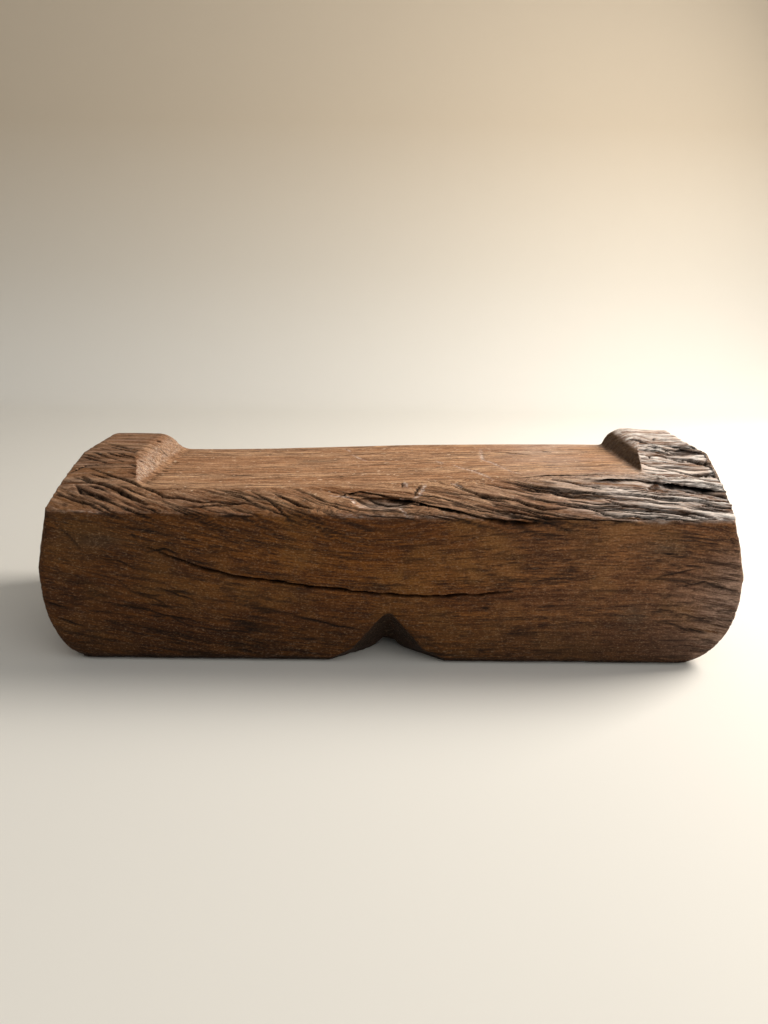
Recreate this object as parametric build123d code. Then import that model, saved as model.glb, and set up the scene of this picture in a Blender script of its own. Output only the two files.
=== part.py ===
from build123d import *
import math
import os

# A low stool hewn from one baulk of timber, with no joint and no fastening in it.
# The front, the back and the underside are flat, and the top keeps the round of the log, which has
# split along its grain.
# A seat is cut down between two end lips, the ends are rounded like a barrel's, and a notch
# is chopped up into the underside from both faces, which leaves two broad feet.
# Frame: X along the length, Y from the front face to the back, Z up. The origin is on the floor
# under the middle. All lengths are in millimetres.

# Baulk
LENGTH = 605.0            # over the bellies of the two ends
DEPTH = 212.0             # front face to back face
FRONT_EDGE_RADIUS = 7.0   # worn edge round the front face
BACK_EDGE_RADIUS = 12.0   # worn edge round the back face

# Round of the log, which tapers from the right end to the left
CROWN_SETBACK = 180.0     # from the front face to the crown
LEFT_FACE_HEIGHT = 138.0  # where the round meets the front face, at the left end
LEFT_LOG_HEIGHT = 167.0   # crown at the left end
RIGHT_FACE_HEIGHT = 135.0
RIGHT_LOG_HEIGHT = 178.0
ARRIS_RADIUS = 4.0        # worn edge where the round meets the front face

# Left end
LEFT_LIP_HEIGHT = 163.0
LEFT_LIP_WIDTH = 70.5     # from the belly in to the middle of the lip's inner face
LEFT_LIP_LEAN = 18.0      # how far the inner face leans to each side of its middle
LEFT_CORNER_RADIUS = 12.0
LEFT_BELLY_HEIGHT = 68.0
LEFT_FOOT_INSET = 38.0    # from the belly in to where the underside is flat
LEFT_FACET_START = 84.0   # height on the front face where the hewn corner begins
LEFT_FACET_INSET = 12.5   # how far it has come in at the top of the front face
LEFT_FACET_REACH = 200.0  # how far back it runs out, along the lip's outer edge

# Right end
RIGHT_LIP_HEIGHT = 175.5
RIGHT_LIP_WIDTH = 67.0
RIGHT_LIP_LEAN = 14.0
RIGHT_CORNER_RADIUS = 14.0
RIGHT_BELLY_HEIGHT = 66.0
RIGHT_FOOT_INSET = 50.0
RIGHT_FACET_START = 78.0
RIGHT_FACET_INSET = 13.0
RIGHT_FACET_REACH = 146.0

# Seat: its height at the back face, and how much higher it stands at the front face
SEAT_LEFT_HEIGHT = 145.8
SEAT_MIDDLE_HEIGHT = 152.3
SEAT_RIGHT_HEIGHT = 155.0
SEAT_LEFT_TILT = 3.6
SEAT_MIDDLE_TILT = 0.4
SEAT_RIGHT_TILT = 6.2

# Notch in the underside
NOTCH_HEIGHT = 48.5
NOTCH_TOP_WIDTH = 7.5
NOTCH_OFFSET = -2.5       # from the middle of the length
NOTCH_FLANK_ANGLE = 51.0  # of the upper facet, from the floor
NOTCH_HEEL_ANGLE = 27.0   # of the lower facet, from the floor
NOTCH_HEEL_HEIGHT = 13.0  # where the lower facet ends
NOTCH_THROAT_HEIGHT = 15.0
NOTCH_SCOOP_DEPTH = 27.0  # from a face in to the throat

# Drying checks: width at the widest and reach in from the front face
FACE_CHECK_WIDTH = 2.0
FACE_CHECK_REACH = 16.0
EDGE_CHECK_WIDTH = 2.6
EDGE_CHECK_REACH = 44.0
END_CHECK_WIDTH = 5.0
END_CHECK_REACH = 66.0

# Splits that have weathered open in the round: width and depth of the largest
SPLIT_WIDTH = 4.4
SPLIT_DEPTH = 9.0

# Hollow where a knot fell out of the front edge
KNOT_LENGTH = 52.0
KNOT_HEIGHT = 16.0
KNOT_SINK = 6.0           # how deep the hollow goes below the round

# How far cutting tools run past the wood
OVERRUN = 10.0

# Centrelines of the checks: shares of half the length, and of the right face height
FACE_CHECK_SHARES = ((-0.68, 0.78), (-0.52, 0.63), (-0.29, 0.56), (-0.09, 0.50), (0.13, 0.475), (0.35, 0.51))
EDGE_CHECK_SHARES = ((0.06, 1.075), (0.14, 1.042), (0.28, 0.974), (0.41, 0.965))
# The same along the length, but shares of the way from the right face height to the right lip's top
END_CHECK_SHARES = ((0.65, 0.44), (0.75, 0.43), (0.87, 0.40), (0.97, 0.35), (1.04, 0.32))

# Places on the round: shares of half the length, and of the way back from the front face to the crown
KNOT_SHARES = (-0.027, 0.096)
# Splits: size as a share of the largest, then the line. One that passes the end of the wood runs out.
SPLIT_SHARES = (
    (0.85, ((-0.915, 0.31), (-0.83, 0.223), (-0.735, 0.116), (-0.67, 0.055))),
    (0.70, ((-0.86, 0.33), (-0.735, 0.228), (-0.65, 0.127), (-0.53, 0.078), (-0.45, 0.084))),
    (0.60, ((-0.95, 0.133), (-0.88, 0.084), (-0.82, 0.047))),
    (0.75, ((-0.835, 0.63), (-0.81, 0.66), (-0.785, 0.70))),
    (0.60, ((-0.59, 0.042), (-0.485, 0.057), (-0.40, 0.073))),
    (0.60, ((-0.345, 0.162), (-0.28, 0.088), (-0.215, 0.031))),
    (0.75, ((0.185, 0.239), (0.25, 0.16), (0.355, 0.123), (0.425, 0.061), (0.49, 0.071))),
    (0.65, ((0.45, 0.185), (0.51, 0.201), (0.615, 0.163))),
    (0.55, ((0.495, 0.28), (0.555, 0.237), (0.60, 0.211))),
    (0.75, ((0.605, 0.127), (0.685, 0.091), (0.775, 0.05), (0.825, 0.045))),
    (0.75, ((0.63, 0.184), (0.755, 0.147), (0.86, 0.135), (0.94, 0.12))),
    (0.70, ((0.745, 0.46), (0.805, 0.427), (0.895, 0.373), (1.03, 0.31))),
    (1.00, ((0.805, 0.58), (0.87, 0.557), (0.93, 0.513), (1.03, 0.38))),
    (0.60, ((0.835, 0.724), (0.845, 0.663), (0.905, 0.607))),
    (0.80, ((0.785, 0.835), (0.81, 0.78), (0.83, 0.763))),
)

# How much of a lip's inner face is rounded over, down from its top, before it hollows into the seat
LEFT_LIP_BEND_SHARE = 0.6
RIGHT_LIP_BEND_SHARE = 0.85
SEAT_MIDDLE_SHARE = 0.02  # where along half the length the middle height of the seat is taken

HALF_LENGTH = LENGTH / 2
HALF_DEPTH = DEPTH / 2
CROWN_Y = CROWN_SETBACK - HALF_DEPTH


def end_curves(side, foot_inset, belly_height, corner_radius, lip_height):
    """The outline of one end, from the flat of the underside up to the level top of the lip."""
    foot_x = side * (HALF_LENGTH - foot_inset)
    corner_x = side * (HALF_LENGTH - corner_radius)
    corner_z = lip_height - corner_radius
    lower = EllipticalCenterArc((foot_x, belly_height), foot_inset, belly_height, 270, arc_size=side * 90)
    upper = Line((side * HALF_LENGTH, belly_height), (side * HALF_LENGTH, corner_z))
    start = 0 if side > 0 else 180
    corner = CenterArc((corner_x, corner_z), corner_radius, start, side * 90)
    return [lower, upper, corner]


def lip_curve(side, lip_width, lip_lean, lip_height, seat_height, bend_share):
    """The inner face of one lip: an arc over from its level top, and an arc out into the seat."""
    foot_x = HALF_LENGTH - lip_width
    top = Vector(side * (foot_x + lip_lean), lip_height)
    foot = Vector(side * (foot_x - lip_lean), seat_height)
    bend = top + (foot - top) * bend_share
    rounded = TangentArc(top, bend, tangent=(-side, 0))
    hollowed = TangentArc(bend, foot, tangent=rounded % 1)
    return [rounded, hollowed]


def section(y, left_seat, middle_seat, right_seat):
    """The stool cut across at y, seen from the front and without the notch: one smooth outline."""
    left = end_curves(-1, LEFT_FOOT_INSET, LEFT_BELLY_HEIGHT, LEFT_CORNER_RADIUS, LEFT_LIP_HEIGHT)
    right = end_curves(1, RIGHT_FOOT_INSET, RIGHT_BELLY_HEIGHT, RIGHT_CORNER_RADIUS, RIGHT_LIP_HEIGHT)
    left_lip = lip_curve(-1, LEFT_LIP_WIDTH, LEFT_LIP_LEAN, LEFT_LIP_HEIGHT, left_seat, LEFT_LIP_BEND_SHARE)
    right_lip = lip_curve(1, RIGHT_LIP_WIDTH, RIGHT_LIP_LEAN, RIGHT_LIP_HEIGHT, right_seat,
                          RIGHT_LIP_BEND_SHARE)
    middle = (SEAT_MIDDLE_SHARE * HALF_LENGTH, middle_seat)
    seat = Spline(left_lip[-1] @ 1, middle, right_lip[-1] @ 1, tangents=[(1, 0), (1, 0)])
    underside = Line((LEFT_FOOT_INSET - HALF_LENGTH, 0), (HALF_LENGTH - RIGHT_FOOT_INSET, 0))
    left_top = Line(left[-1] @ 1, left_lip[0] @ 0)
    right_top = Line(right[-1] @ 1, right_lip[0] @ 0)
    edges = [underside, *right, right_top, *right_lip, seat, *left_lip, left_top, *left]
    return Pos(0, y, 0) * (Plane.XZ * make_face(edges))


def baulk():
    """The outline carried from face to face, hewn at the corners and with its edges worn round."""
    back = section(HALF_DEPTH, SEAT_LEFT_HEIGHT, SEAT_MIDDLE_HEIGHT, SEAT_RIGHT_HEIGHT)
    front = section(-HALF_DEPTH, SEAT_LEFT_HEIGHT + SEAT_LEFT_TILT, SEAT_MIDDLE_HEIGHT + SEAT_MIDDLE_TILT,
                    SEAT_RIGHT_HEIGHT + SEAT_RIGHT_TILT)
    block = loft([back, front], ruled=True)
    block -= corner_waste(-1, LEFT_FACET_START, LEFT_FACET_INSET, LEFT_FACET_REACH, LEFT_LIP_HEIGHT,
                          LEFT_FACE_HEIGHT)
    block -= corner_waste(1, RIGHT_FACET_START, RIGHT_FACET_INSET, RIGHT_FACET_REACH, RIGHT_LIP_HEIGHT,
                          RIGHT_FACE_HEIGHT)
    block = fillet(block.faces().sort_by(Axis.Y)[-1].edges(), BACK_EDGE_RADIUS)
    return fillet(block.faces().sort_by(Axis.Y)[0].edges(), FRONT_EDGE_RADIUS)


def log_heights(x):
    """Heights of the front edge of the log's round and of its crown, at x along the length."""
    share = (x + HALF_LENGTH) / LENGTH
    face_height = LEFT_FACE_HEIGHT + (RIGHT_FACE_HEIGHT - LEFT_FACE_HEIGHT) * share
    log_height = LEFT_LOG_HEIGHT + (RIGHT_LOG_HEIGHT - LEFT_LOG_HEIGHT) * share
    return face_height, log_height


def on_round(along, back):
    """A place on the round of the log, and the way straight out of the wood there."""
    x = along * HALF_LENGTH
    face_height, log_height = log_heights(x)
    rise = log_height - face_height
    radius = (CROWN_SETBACK ** 2 + rise ** 2) / (2 * rise)
    lean = math.asin((1 - back) * CROWN_SETBACK / radius)
    out = Vector(0, -math.sin(lean), math.cos(lean))
    return Vector(x, CROWN_Y, log_height - radius) + out * radius, out


def outside_of_log():
    """What lies outside the round of the log and its worn arris, above the front face."""
    above = max(LEFT_LOG_HEIGHT, RIGHT_LOG_HEIGHT, LEFT_LIP_HEIGHT, RIGHT_LIP_HEIGHT) + OVERRUN
    before = -HALF_DEPTH - OVERRUN
    sections = []
    for x in (-HALF_LENGTH - OVERRUN, HALF_LENGTH + OVERRUN):
        face_height, log_height = log_heights(x)
        arris = (-HALF_DEPTH, face_height)
        crown = (CROWN_Y, log_height)
        log_round = TangentArc(crown, arris, tangent=(-1, 0))
        worn_to = face_height - ARRIS_RADIUS
        beside = Polyline(arris, (-HALF_DEPTH, worn_to), (before, worn_to), (before, above))
        over = Polyline((before, above), (CROWN_Y, above), crown)
        outside = make_face([log_round, beside, over])
        corner = outside.vertices().sort_by_distance(Vector(*arris))[0]
        sections.append(Pos(x, 0, 0) * (Plane.YZ * fillet(corner, ARRIS_RADIUS)))
    return loft(sections, ruled=True)


def corner_waste(side, start_height, inset, reach, lip_height, face_height):
    """What is hewn off the upper front corner of one end, in a flat facet that runs out at the back."""
    belly = Vector(side * HALF_LENGTH, -HALF_DEPTH, start_height)
    arris = Vector(side * (HALF_LENGTH - inset), -HALF_DEPTH, face_height)
    run_out = Vector(side * HALF_LENGTH, reach - HALF_DEPTH, lip_height)
    outward = (run_out - belly).cross(arris - belly) * side
    facet = Plane(belly, x_dir=run_out - belly, z_dir=outward)
    return facet * Box(2 * LENGTH, 2 * LENGTH, inset + OVERRUN, align=(Align.CENTER, Align.CENTER, Align.MIN))


def notch_section(y, share):
    """The notch across the depth at y, drawn to a share of its size at the face."""
    flank = math.tan(math.radians(NOTCH_FLANK_ANGLE))
    heel = NOTCH_TOP_WIDTH / 2 + (NOTCH_HEIGHT - NOTCH_HEEL_HEIGHT) / flank
    toe = heel + (NOTCH_HEEL_HEIGHT + OVERRUN) / math.tan(math.radians(NOTCH_HEEL_ANGLE))
    half = ((NOTCH_TOP_WIDTH / 2, NOTCH_HEIGHT), (heel, NOTCH_HEEL_HEIGHT), (toe, -OVERRUN))
    points = [*half, *((-x, z) for x, z in reversed(half))]
    section = Polyline(*(Vector(NOTCH_OFFSET + x * share, y, z * share) for x, z in points), close=True)
    return make_face(section)


def notch():
    """The notch chopped in from both faces, with a low throat between the two scoops."""
    throat_share = NOTCH_THROAT_HEIGHT / NOTCH_HEIGHT
    mouth_share = 1 + (1 - throat_share) * OVERRUN / NOTCH_SCOOP_DEPTH
    mouth_y = HALF_DEPTH + OVERRUN
    throat_y = HALF_DEPTH - NOTCH_SCOOP_DEPTH
    front_half = [notch_section(-mouth_y, mouth_share), notch_section(-throat_y, throat_share)]
    back_half = [notch_section(throat_y, throat_share), notch_section(mouth_y, mouth_share)]
    return loft(front_half + back_half, ruled=True)


def check(points, width, reach, open_end=False):
    """A drying check: a lens-shaped slit along the points, cut in from the front face.
    With an open end it is widest at its last point, which lies past the end of the wood."""
    last = len(points) - 1
    spread = [min(2 * i / last, 1) if open_end else math.sin(math.pi * i / last) for i in range(last + 1)]
    upper = [(x, z + width / 2 * s) for (x, z), s in zip(points, spread)]
    lower = [(x, z - width / 2 * s) for (x, z), s in zip(points, spread)]
    edges = [Spline(*upper), Spline(*lower)]
    if open_end:
        edges.append(Line(upper[-1], lower[-1]))
    slit = extrude(Plane.XZ * make_face(edges), reach + OVERRUN)
    return Pos(0, reach - HALF_DEPTH, 0) * slit


def face_points(shares):
    return [(along * HALF_LENGTH, up * RIGHT_FACE_HEIGHT) for along, up in shares]


def lip_points(shares):
    rise = RIGHT_LIP_HEIGHT - RIGHT_FACE_HEIGHT
    return [(along * HALF_LENGTH, RIGHT_FACE_HEIGHT + up * rise) for along, up in shares]


def knot_hollow():
    """A long shallow hollow, square to the round of the log where the knot was."""
    place, out = on_round(*KNOT_SHARES)
    bowl = ((KNOT_HEIGHT / 2) ** 2 + KNOT_SINK ** 2) / (2 * KNOT_SINK)
    ball = scale(Sphere(bowl), by=(KNOT_LENGTH / KNOT_HEIGHT, 1, 1))
    return Pos(place + out * (bowl - KNOT_SINK)) * ball


def split(size_share, line):
    """A groove along a line on the round, as a wedge with its edge in the wood. It closes to a point
    at its ends, but where it passes the end of the wood it stays open."""
    places = [on_round(along, back) for along, back in line]
    last = len(places) - 1
    runs_out = line[-1][0] > 1
    sections = []
    for i, (place, out) in enumerate(places):
        if i == 0 or (i == last and not runs_out):
            sections.append(Vertex(place))
            continue
        size = size_share * (min(2 * i / last, 1) if runs_out else math.sin(math.pi * i / last))
        run = places[min(i + 1, last)][0] - places[i - 1][0]
        across = run.cross(out).normalized() * SPLIT_WIDTH * size
        deep = out * SPLIT_DEPTH * size
        wedge = Polyline(place - deep, place + deep + across, place + deep - across, close=True)
        sections.append(make_face(wedge))
    return loft(sections, ruled=True)


def stool_block():
    """The whole stool, which is one piece of wood."""
    block = baulk() - outside_of_log() - notch()
    block -= check(face_points(FACE_CHECK_SHARES), FACE_CHECK_WIDTH, FACE_CHECK_REACH)
    block -= check(face_points(EDGE_CHECK_SHARES), EDGE_CHECK_WIDTH, EDGE_CHECK_REACH)
    block -= check(lip_points(END_CHECK_SHARES), END_CHECK_WIDTH, END_CHECK_REACH, open_end=True)
    for size_share, line in SPLIT_SHARES:
        block -= split(size_share, line)
    return block - knot_hollow()


os.makedirs("parts", exist_ok=True)
stool = stool_block()
stool.label = "stool_block"
export_step(stool, "parts/stool_block.step")
print("volume in litres", round(stool.volume / 1e6, 3), "solids", len(stool.solids()))
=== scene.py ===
"""The looks of a low stool hewn from one baulk of dark hardwood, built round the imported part."""
import math
import random

import bmesh
import bpy
import numpy as np
from mathutils import Matrix, Vector, noise
from mathutils.bvhtree import BVHTree


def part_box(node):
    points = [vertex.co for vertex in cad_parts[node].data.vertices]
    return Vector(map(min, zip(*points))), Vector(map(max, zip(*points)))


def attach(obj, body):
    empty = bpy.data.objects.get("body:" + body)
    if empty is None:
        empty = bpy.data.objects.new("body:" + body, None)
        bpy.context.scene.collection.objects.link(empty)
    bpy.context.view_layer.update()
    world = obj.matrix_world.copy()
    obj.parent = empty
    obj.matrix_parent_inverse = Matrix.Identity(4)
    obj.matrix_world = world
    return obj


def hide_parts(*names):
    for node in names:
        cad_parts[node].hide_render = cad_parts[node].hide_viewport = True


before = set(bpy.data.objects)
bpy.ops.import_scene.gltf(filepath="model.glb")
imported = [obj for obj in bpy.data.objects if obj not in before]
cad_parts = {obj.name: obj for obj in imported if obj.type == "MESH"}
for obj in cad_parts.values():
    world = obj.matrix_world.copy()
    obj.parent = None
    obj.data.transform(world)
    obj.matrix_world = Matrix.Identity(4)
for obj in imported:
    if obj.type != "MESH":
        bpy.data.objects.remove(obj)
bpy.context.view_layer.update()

# Tables and the sums on the skin are in millimetres. Blender's own lengths are metres, so they carry MM.
MM = 0.001
NODE = "stool_block"
LOW, HIGH = (np.array(corner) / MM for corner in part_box(NODE))
FRONT = LOW[1]
BACK = HIGH[1]

# Where the front face turns over into the round of the log, at the two ends
LEFT_ARRIS, RIGHT_ARRIS = 138.0, 135.0
# Girth: the way round the wood square to its length. 0 is the arris, it falls down the front face
# and on under the stool, and it grows back over the top and then down the back face.
TOP_GIRTH = 215.0
# How the rise towards the log's round counts as girth close to the arris
ARRIS_LEAN = 0.66

# Where the seat lies between the lips, and how far its front edge is from the arris
SEAT_LEFT, SEAT_RIGHT = -216.0, 226.0
SEAT_EDGE = ((-216, 36), (-130, 38), (-60, 44), (0, 46), (60, 50), (120, 58), (226, 64))

# How steeply the grain runs down to the right, as girth over length, from left to right
FACE_SLOPES = ((-300, -0.22), (-150, -0.18), (-60, -0.10), (0, 0.0), (100, 0.04), (220, 0.0), (300, -0.2))
WANE_SLOPES = ((-300, -0.62), (-190, -0.6), (-150, -0.35), (-60, -0.6), (-20, -0.1), (40, -0.3),
               (110, -0.35), (180, -0.08), (240, -0.15), (300, -0.35))

# Where the zones of the skin begin: the worn edges, the top, the ends, the lips and the notch
FRONT_BAND, BACK_BAND = 7.5, 14.0
TOP_FLOOR = 118.0
END_START = 225.0
LIP_START, LIP_FLOOR = 186.0, 146.0
NOTCH_TOP, NOTCH_HALF = 52.0, 75.0
# How far a normal leans up, down, outwards or back before its point belongs to the top, the
# underside, an end or the back, and how far it may turn sideways and still belong to the front
TOP_LEAN, UNDER_LEAN, END_LEAN, BACK_LEAN, FRONT_TURN = 0.3, -0.7, 0.6, 0.6, 0.75

# Checks and splits seen on the front and the top: width, depth, and the line as (x, girth)
CHECKS = (
    # Left lip
    (4.4, 9.0, ((-276, 57), (-264, 46), (-251, 42), (-238, 34), (-222, 22), (-206, 11))),
    (3.2, 8.0, ((-259, 61), (-238, 53), (-223, 43), (-209, 33), (-196, 24), (-183, 21), (-160, 15),
                (-137, 16))),
    (3.4, 7.0, ((-287, 25), (-278, 22), (-266, 16), (-250, 9))),
    (2.8, 6.0, ((-277, 42), (-267, 29), (-253, 26), (-239, 15))),
    (1.8, 2.5, ((-292, 60), (-281, 80), (-263, 83))),
    (3.2, 7.0, ((-249, 120), (-240, 127))),
    (4.0, 5.0, ((-240, 170), (-238, 173))),
    (3.6, 5.0, ((-235, 94), (-233, 97))),
    # Wane between the left lip and the knot
    (2.6, 4.0, ((-177, 8), (-163, 8), (-147, 11), (-136, 10))),
    (2.8, 4.5, ((-146, 14), (-122, 14))),
    (1.8, 2.5, ((-149, 34), (-130, 25), (-107, 5))),
    (2.0, 3.5, ((-122, 34), (-101, 15), (-86, -5), (-82, -7))),
    (2.6, 4.5, ((-104, 31), (-85, 17), (-66, 6))),
    (1.6, 2.0, ((-143, -3), (-116, -3))),
    # Knot, and the long check that runs out of it over the arris
    (2.0, 3.0, ((-22, 12), (0, 13), (18, 11))),
    # Wane towards the right lip
    (3.2, 8.0, ((56, 46), (67, 35), (75, 31), (91, 26), (107, 24), (115, 18), (128, 12), (147, 14))),
    (2.6, 6.0, ((70, 16), (85, 11), (102, 7), (117, 4), (128, 1), (145, 0), (172, -1))),
    (2.4, 6.0, ((150, 54), (168, 46), (181, 41))),
    (2.8, 6.0, ((136, 36), (154, 38), (168, 36), (185, 32))),
    (2.4, 5.0, ((151, 21), (156, 19), (181, 8), (191, 5))),
    (2.0, 3.5, ((147, 0), (158, 0), (168, 0), (193, -3))),
    (2.8, 7.0, ((184, 25), (197, 18), (207, 18), (220, 15))),
    (3.0, 7.0, ((214, 13), (224, 11), (234, 10), (248, 9))),
    (2.8, 8.0, ((190, 36), (208, 32), (229, 29), (246, 27), (273, 26), (296, 24))),
    (2.2, 4.5, ((262, 19), (271, 20), (279, 18), (296, 17))),
    # Right lip
    (3.6, 10.0, ((227, 88), (235, 85), (244, 82), (261, 76), (274, 69), (298, 63))),
    (3.8, 10.0, ((245, 109), (254, 109), (263, 106), (271, 103), (281, 98), (297, 84))),
    (2.2, 5.0, ((253, 136), (254, 125), (263, 121), (272, 115))),
    (3.4, 9.0, ((238, 155), (244, 145), (251, 143))),
    (3.4, 6.0, ((241, 107), (241, 100))),
    # Seat
    (2.6, 2.8, ((103, 167), (117, 159), (138, 146))),
    (2.2, 2.4, ((154, 168), (162, 158))),
    (1.6, 2.0, ((104, 57), (138, 62), (171, 63), (190, 65))),
    (2.0, 2.0, ((8, 50), (9, 41))),
    (1.8, 1.8, ((54, 43), (63, 37))),
    (2.2, 2.4, ((25, 45), (19, 28))),
    # Front face
    (2.6, 14.0, ((-205, -32), (-179, -43), (-158, -51), (-129, -57), (-89, -62), (-61, -66), (-28, -69),
                 (8, -72), (38, -72), (72, -70), (103, -67))),
    (1.8, 2.0, ((-207, -36), (-192, -32), (-186, -35), (-179, -40))),
    (1.5, 1.5, ((-251, -40), (-234, -43), (-225, -47), (-214, -54))),
    (1.5, 1.8, ((-299, -81), (-279, -89))),
    (1.5, 1.8, ((-289, -97), (-266, -106))),
    (1.6, 2.0, ((257, -98), (274, -103))),
    (1.5, 1.2, ((280, -12), (290, -23))),
    (1.6, 2.0, ((-201, -68), (-191, -70), (-181, -75), (-168, -80))),
    (1.4, 1.4, ((-233, -61), (-222, -72), (-203, -78), (-182, -93))),
    (1.5, 1.6, ((-227, -83), (-208, -89), (-191, -95), (-172, -105))),
    (1.4, 1.2, ((-170, -105), (-142, -108), (-114, -108))),
    (1.6, 2.0, ((-87, -91), (-70, -96), (-53, -100), (-23, -105))),
    (1.5, 1.6, ((246, -60), (267, -55), (294, -64))),
    (1.4, 1.4, ((220, -54), (236, -49), (261, -42))),
    (1.8, 1.8, ((225, -29), (242, -31))),
    (1.4, 1.4, ((233, -93), (251, -98), (269, -104))),
    (1.4, 1.4, ((240, -84), (258, -86), (281, -97))),
    (2.6, 1.6, ((78, -82), (85, -83))),
    (2.0, 1.0, ((-266, 0), (-260, -3))),
    (1.4, 1.2, ((-281, -12), (-260, -36))),
    (2.0, 1.2, ((-219, -18), (-213, -25))),
)
# Checks that run level into the wood, over the arris and into the right end: width, reach and line
LEVEL_CHECKS = (
    (2.8, 18.0, ((-52, 20), (-39, 29), (-28, 33), (-18, 30), (-4, 26), (14, 21), (29, 14), (43, 10),
                 (57, 6), (68, 1), (84, -3), (101, -5), (126, -6))),
    (2.8, 24.0, ((176, 54), (195, 56), (219, 56), (232, 55), (249, 50), (270, 45), (288, 38), (312, 31))),
)
# Scratches and nicks that show pale wood: width, depth and line
SCRATCHES = (
    (2.4, 0.8, ((43, 127), (50, 115))),
    (2.6, 1.0, ((59, 109), (65, 96), (76, 82), (89, 54))),
    (2.8, 1.0, ((93, 180), (89, 130), (97, 113), (109, 80), (116, 69))),
    (2.0, 0.8, ((52, 48), (61, 43))),
    (1.6, 0.7, ((-49, 191), (-42, 176))),
    (1.6, 0.7, ((-40, 162), (-24, 130))),
    (2.6, 0.6, ((11, 51), (12, 40))),
    (2.8, 0.8, ((29, 46), (24, 30), (18, 24))),
    (2.0, 0.8, ((-1, 18), (6, 12), (14, -2))),
    (2.4, 0.8, ((-52, 27), (-36, 25), (-27, 12), (-12, 10))),
)

# How far above the arris the grain still climbs: it runs level through the lips
GRAIN_RISE = 21.0

# Where the knot fell out, and how far it turns the grain aside
KNOT_X, KNOT_GIRTH, KNOT_REACH = -10.0, 8.0, 34.0

# The broken hollow over the knot: its middle, and half its length and height
HOLLOW_X, HOLLOW_GIRTH = -8.0, 16.0
HOLLOW_LENGTH, HOLLOW_HEIGHT = 27.0, 11.0

# The gutter that has worn along the deepest check, with a steep broken bank over it
GUTTER_WIDTH = 17.0
GUTTER_SINK = 4.5
BANK_WIDTH = 2.2

# How much the top of the right lip has worn down towards its end, and the end of the arris below it
LIP_WEAR = 2.6
CORNER_WEAR = 3.0

# How rough the round of the log has weathered, from left to right
ROUGHNESS = ((-300, 0.6), (-215, 0.5), (-140, 0.3), (-20, 0.25), (70, 0.4), (140, 0.8), (230, 1.4),
             (300, 1.6))

# How grey the round of the log has weathered, from left to right
WANE_GREY = ((-300, 0.08), (-200, 0.05), (-60, 0.03), (60, 0.05), (130, 0.12), (190, 0.5), (240, 0.9),
             (300, 1.0))

# Patterns in the wood: the size of their features in x, y and z, or along the grain, across it and in
# depth, then their octaves, and a shift that keeps two of them from lying on each other
WANDER = ((34, 14, 14), 3, 0)
FINE_WANDER = ((9, 6, 6), 2, 5)
WOBBLE_ALONG = ((22, 22, 22), 2, 0)
WOBBLE_ROUND = ((13, 9, 9), 3, 91)
SWELLS = ((95, 60, 60), 2, 17)
RIDGES = ((95, 6.5, 16), 2, 0)
FINE_RIDGES = ((42, 2.8, 8), 2, 31)
LUMPS = ((34, 14, 15), 2, 57)
GRIT = ((3.4, 3.0, 3.0), 2, 43)
CREASED = ((58, 13, 14), 2, 83)
FINELY_CREASED = ((40, 9, 10), 2, 129)
BLOTCHES = ((60, 34, 30), 3, 7)

# How deep the swells and the grit go, and the ridges, creases and lumps where the roughness is 1
SWELL_DEPTH, UNDER_SWELL_DEPTH, GRIT_DEPTH = 0.7, 0.3, 0.5
RIDGE_DEPTH, FINE_RIDGE_DEPTH = 0.6, 0.25
CREASE_DEPTH, FINE_CREASE_DEPTH = 1.3, 0.6
LUMP_DEPTH = 1.7
# Where the lumps of the right lip begin, and from where they are full
LUMPS_FROM, LUMPS_FULL = 215, 245

# How rough the other zones are, beside the 1 of the wane, the weathered round of the log
FACE_ROUGH, SEAT_ROUGH, INNER_ROUGH = 0.07, 0.08, 0.2
END_ROUGH, BACK_ROUGH, POCKET_ROUGH = 0.35, 0.45, 0.5

# How many splits open from the heart on each end, and how many chips the edges have lost
SPLITS_PER_END = 26
CHIP_COUNT = 90

# Dark stains: middle as x and girth, half length, half height and strength
STAINS = (
    (-248, -26, 22, 7, 0.75),
    (-72, 137, 22, 9, 0.7),
    (232, -26, 20, 9, 0.6),
    (210, -88, 14, 14, 0.6),
)

# Full strength of the painted shade, which only the notch, the underside and the painted shadow at the
# foot's lowest edge reach
FULL_SHADE = 1.5

# Mesh: the wood is remeshed with its length cut to a share, so its quads come out long along the grain
VOXEL = 2.9 * MM
LENGTH_SHARE = 0.4

# What counts as a slit of the solid, to be closed: its widest, the height that it stays above, and how
# far behind the front a face that looks forward is a slit's end
SLIT_WIDTH = 6.5 * MM
SLIT_FLOOR = 55 * MM
SLIT_END = FRONT * MM + 8 * MM
# Points nearer than this are one, and a ray starts this far off its own face
MERGE_DISTANCE = 0.005 * MM
RAY_START = 0.02 * MM

# End grain: where the heart of the log lies, how wide its year rings are and how far they stray, and
# how close round the heart the fine splits lie and how they turn on their way out
HEART = (0.0, 22.0 * MM, 70.0 * MM)
RING_WIDTH = 4.5 * MM
RING_STRAY = 26
SPLITS_ROUND = 4.2
SPLIT_TURN = 8

# The masks painted on the mesh, as three to a layer. The shade layer holds painted shade and the painted
# highlight on the ridges' crests, the split mask is painted shade in the checks and creases, and the first
# and third masks of the wear layer carry painted highlights beside weathering and dust
PAINTED = {"wear": ("weather_and_painted_light", "tan", "dust"), "marks": ("split", "ends", "stain"),
           "shade": ("low", "crest_highlight", "spare")}

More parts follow.
